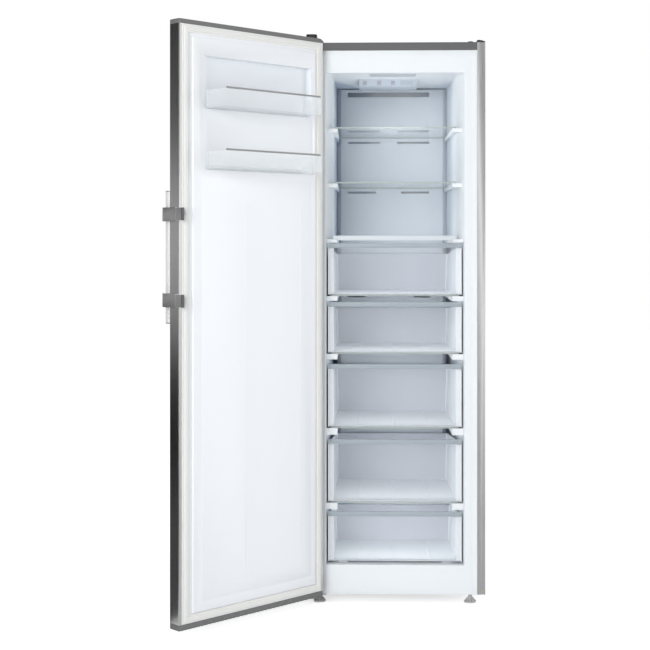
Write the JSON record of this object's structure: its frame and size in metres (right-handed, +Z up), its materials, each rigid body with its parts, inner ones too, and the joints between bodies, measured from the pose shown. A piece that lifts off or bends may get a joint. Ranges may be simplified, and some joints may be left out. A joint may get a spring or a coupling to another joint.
{
  "type": "upright freezer",
  "caption": "Tall upright freezer, its hinged door open, with glass shelves above clear-fronted drawers, door racks and a bar handle.",
  "frame": {"origin": "on the floor under the centre of the cabinet's footprint", "axes": "+Z up; the cabinet's front faces -Y; +X is the right-hand side seen from the front"},
  "size_m": [1.0098, 1.0874, 1.87],
  "materials": {
    "steel_painted": "satin silver-grey paint",
    "steel_brushed": "fine brushed steel",
    "zinc_sheet": "dull zinc-coated sheet",
    "white_plastic": "smooth moulded white",
    "insulation": "rigid foam, never in view",
    "glass_plate": "clear tempered glass",
    "clear_plastic": "clear moulded",
    "tub_plastic": "milky translucent",
    "black_plastic": "matt black",
    "dark_plastic": "matt dark grey",
    "seal_rubber": "soft pale grey",
    "display_plastic": "smoked lens",
    "lamp_plastic": "frosted lens",
    "bar_metal": "satin bar",
    "bracket_metal": "satin silver",
    "trim_metal": "satin strip",
    "coil_metal": "bare fins",
    "motor_black": "gloss black paint",
    "hinge_steel": "zinc-plated",
    "foot_plastic": "grey moulded"
  },
  "bodies": {
    "cabinet": {"side_panel_left": "steel_painted", "side_panel_right": "steel_painted", "top_panel": "steel_painted", "back_panel": "zinc_sheet", "base_pan": "zinc_sheet", "top_plugs": "black_plastic", "inner_liner": "white_plastic", "cabinet_foam": "insulation", "duct_cover": "white_plastic", "evaporator": "coil_metal", "fan_motor": "motor_black", "compressor": "motor_black", "drip_tray": "black_plastic", "bay_cover": "zinc_sheet", "cord_gland": "black_plastic", "control_housing": "white_plastic", "display_lens": "display_plastic", "light_lens": "lamp_plastic", "upper_shelves": "glass_plate", "shelf_trim": "white_plastic", "drawer_shelves": "glass_plate", "top_hinge_bracket": "hinge_steel", "hinge_cover": "black_plastic", "bottom_hinge_bracket": "hinge_steel", "hinge_pins": "hinge_steel", "hinge_screws": "hinge_steel", "roller_brackets": "hinge_steel"},
    "door": {"door_skin": "steel_brushed", "door_top_cap": "dark_plastic", "door_bottom_cap": "dark_plastic", "door_liner": "white_plastic", "door_foam": "insulation", "door_gasket": "seal_rubber", "rack_upper": "clear_plastic", "rack_lower": "clear_plastic", "rack_trims": "trim_metal", "handle_bar": "bar_metal", "bar_end_caps": "dark_plastic", "handle_brackets": "bracket_metal", "handle_noses": "dark_plastic", "hinge_bushes": "dark_plastic"},
    "drawer_1": {"drawer_tub_1": "tub_plastic", "drawer_front_1": "clear_plastic"},
    "drawer_2": {"drawer_tub_2": "tub_plastic", "drawer_front_2": "clear_plastic"},
    "drawer_3": {"drawer_tub_3": "tub_plastic", "drawer_front_3": "clear_plastic"},
    "drawer_4": {"drawer_tub_4": "tub_plastic", "drawer_front_4": "clear_plastic"},
    "drawer_5": {"drawer_tub_5": "tub_plastic", "drawer_front_5": "clear_plastic"},
    "fan_blades": {"fan_blades": "white_plastic"},
    "foot_left": {"foot_left": "foot_plastic"},
    "foot_right": {"foot_right": "foot_plastic"},
    "roller_left": {"roller_left": "dark_plastic"},
    "roller_right": {"roller_right": "dark_plastic"},
    "button_1": {"button_1": "dark_plastic"},
    "button_2": {"button_2": "dark_plastic"},
    "button_3": {"button_3": "dark_plastic"}
  },
  "joints": [
    {"name": "door_hinge", "type": "hinge", "parent": "cabinet", "child": "door", "pos_m": [-0.273, -0.3345, 0.9445], "axis": [0, 0, -1], "range_deg": [-134.5, 5.5]},
    {"name": "drawer_1_slide", "type": "slide", "parent": "cabinet", "child": "drawer_1", "axis": [0, -1, 0], "range_m": [0, 0.3]},
    {"name": "drawer_2_slide", "type": "slide", "parent": "cabinet", "child": "drawer_2", "axis": [0, -1, 0], "range_m": [0, 0.3]},
    {"name": "drawer_3_slide", "type": "slide", "parent": "cabinet", "child": "drawer_3", "axis": [0, -1, 0], "range_m": [0, 0.3]},
    {"name": "drawer_4_slide", "type": "slide", "parent": "cabinet", "child": "drawer_4", "axis": [0, -1, 0], "range_m": [0, 0.3]},
    {"name": "drawer_5_slide", "type": "slide", "parent": "cabinet", "child": "drawer_5", "axis": [0, -1, 0], "range_m": [0, 0.3]},
    {"name": "fan_spin", "type": "hinge", "parent": "cabinet", "child": "fan_blades", "pos_m": [0, 0.1805, 1.09], "axis": [0, 1, 0], "continuous": true},
    {"name": "foot_left_turn", "type": "hinge", "parent": "cabinet", "child": "foot_left", "pos_m": [-0.249, -0.2755, 0.012], "axis": [0, 0, 1], "range_deg": [-180, 180]},
    {"name": "foot_right_turn", "type": "hinge", "parent": "cabinet", "child": "foot_right", "pos_m": [0.249, -0.2755, 0.012], "axis": [0, 0, 1], "range_deg": [-180, 180]},
    {"name": "roller_left_spin", "type": "hinge", "parent": "cabinet", "child": "roller_left", "pos_m": [-0.24, 0.2525, 0.012], "axis": [1, 0, 0], "continuous": true},
    {"name": "roller_right_spin", "type": "hinge", "parent": "cabinet", "child": "roller_right", "pos_m": [0.24, 0.2525, 0.012], "axis": [1, 0, 0], "continuous": true},
    {"name": "button_1_press", "type": "slide", "parent": "cabinet", "child": "button_1", "axis": [0, 0.5547, 0.8321], "range_m": [0, 0.0015], "stiffness_N_per_m": 400},
    {"name": "button_2_press", "type": "slide", "parent": "cabinet", "child": "button_2", "axis": [0, 0.5547, 0.8321], "range_m": [0, 0.0015], "stiffness_N_per_m": 400},
    {"name": "button_3_press", "type": "slide", "parent": "cabinet", "child": "button_3", "axis": [0, 0.5547, 0.8321], "range_m": [0, 0.0015], "stiffness_N_per_m": 400}
  ]
}
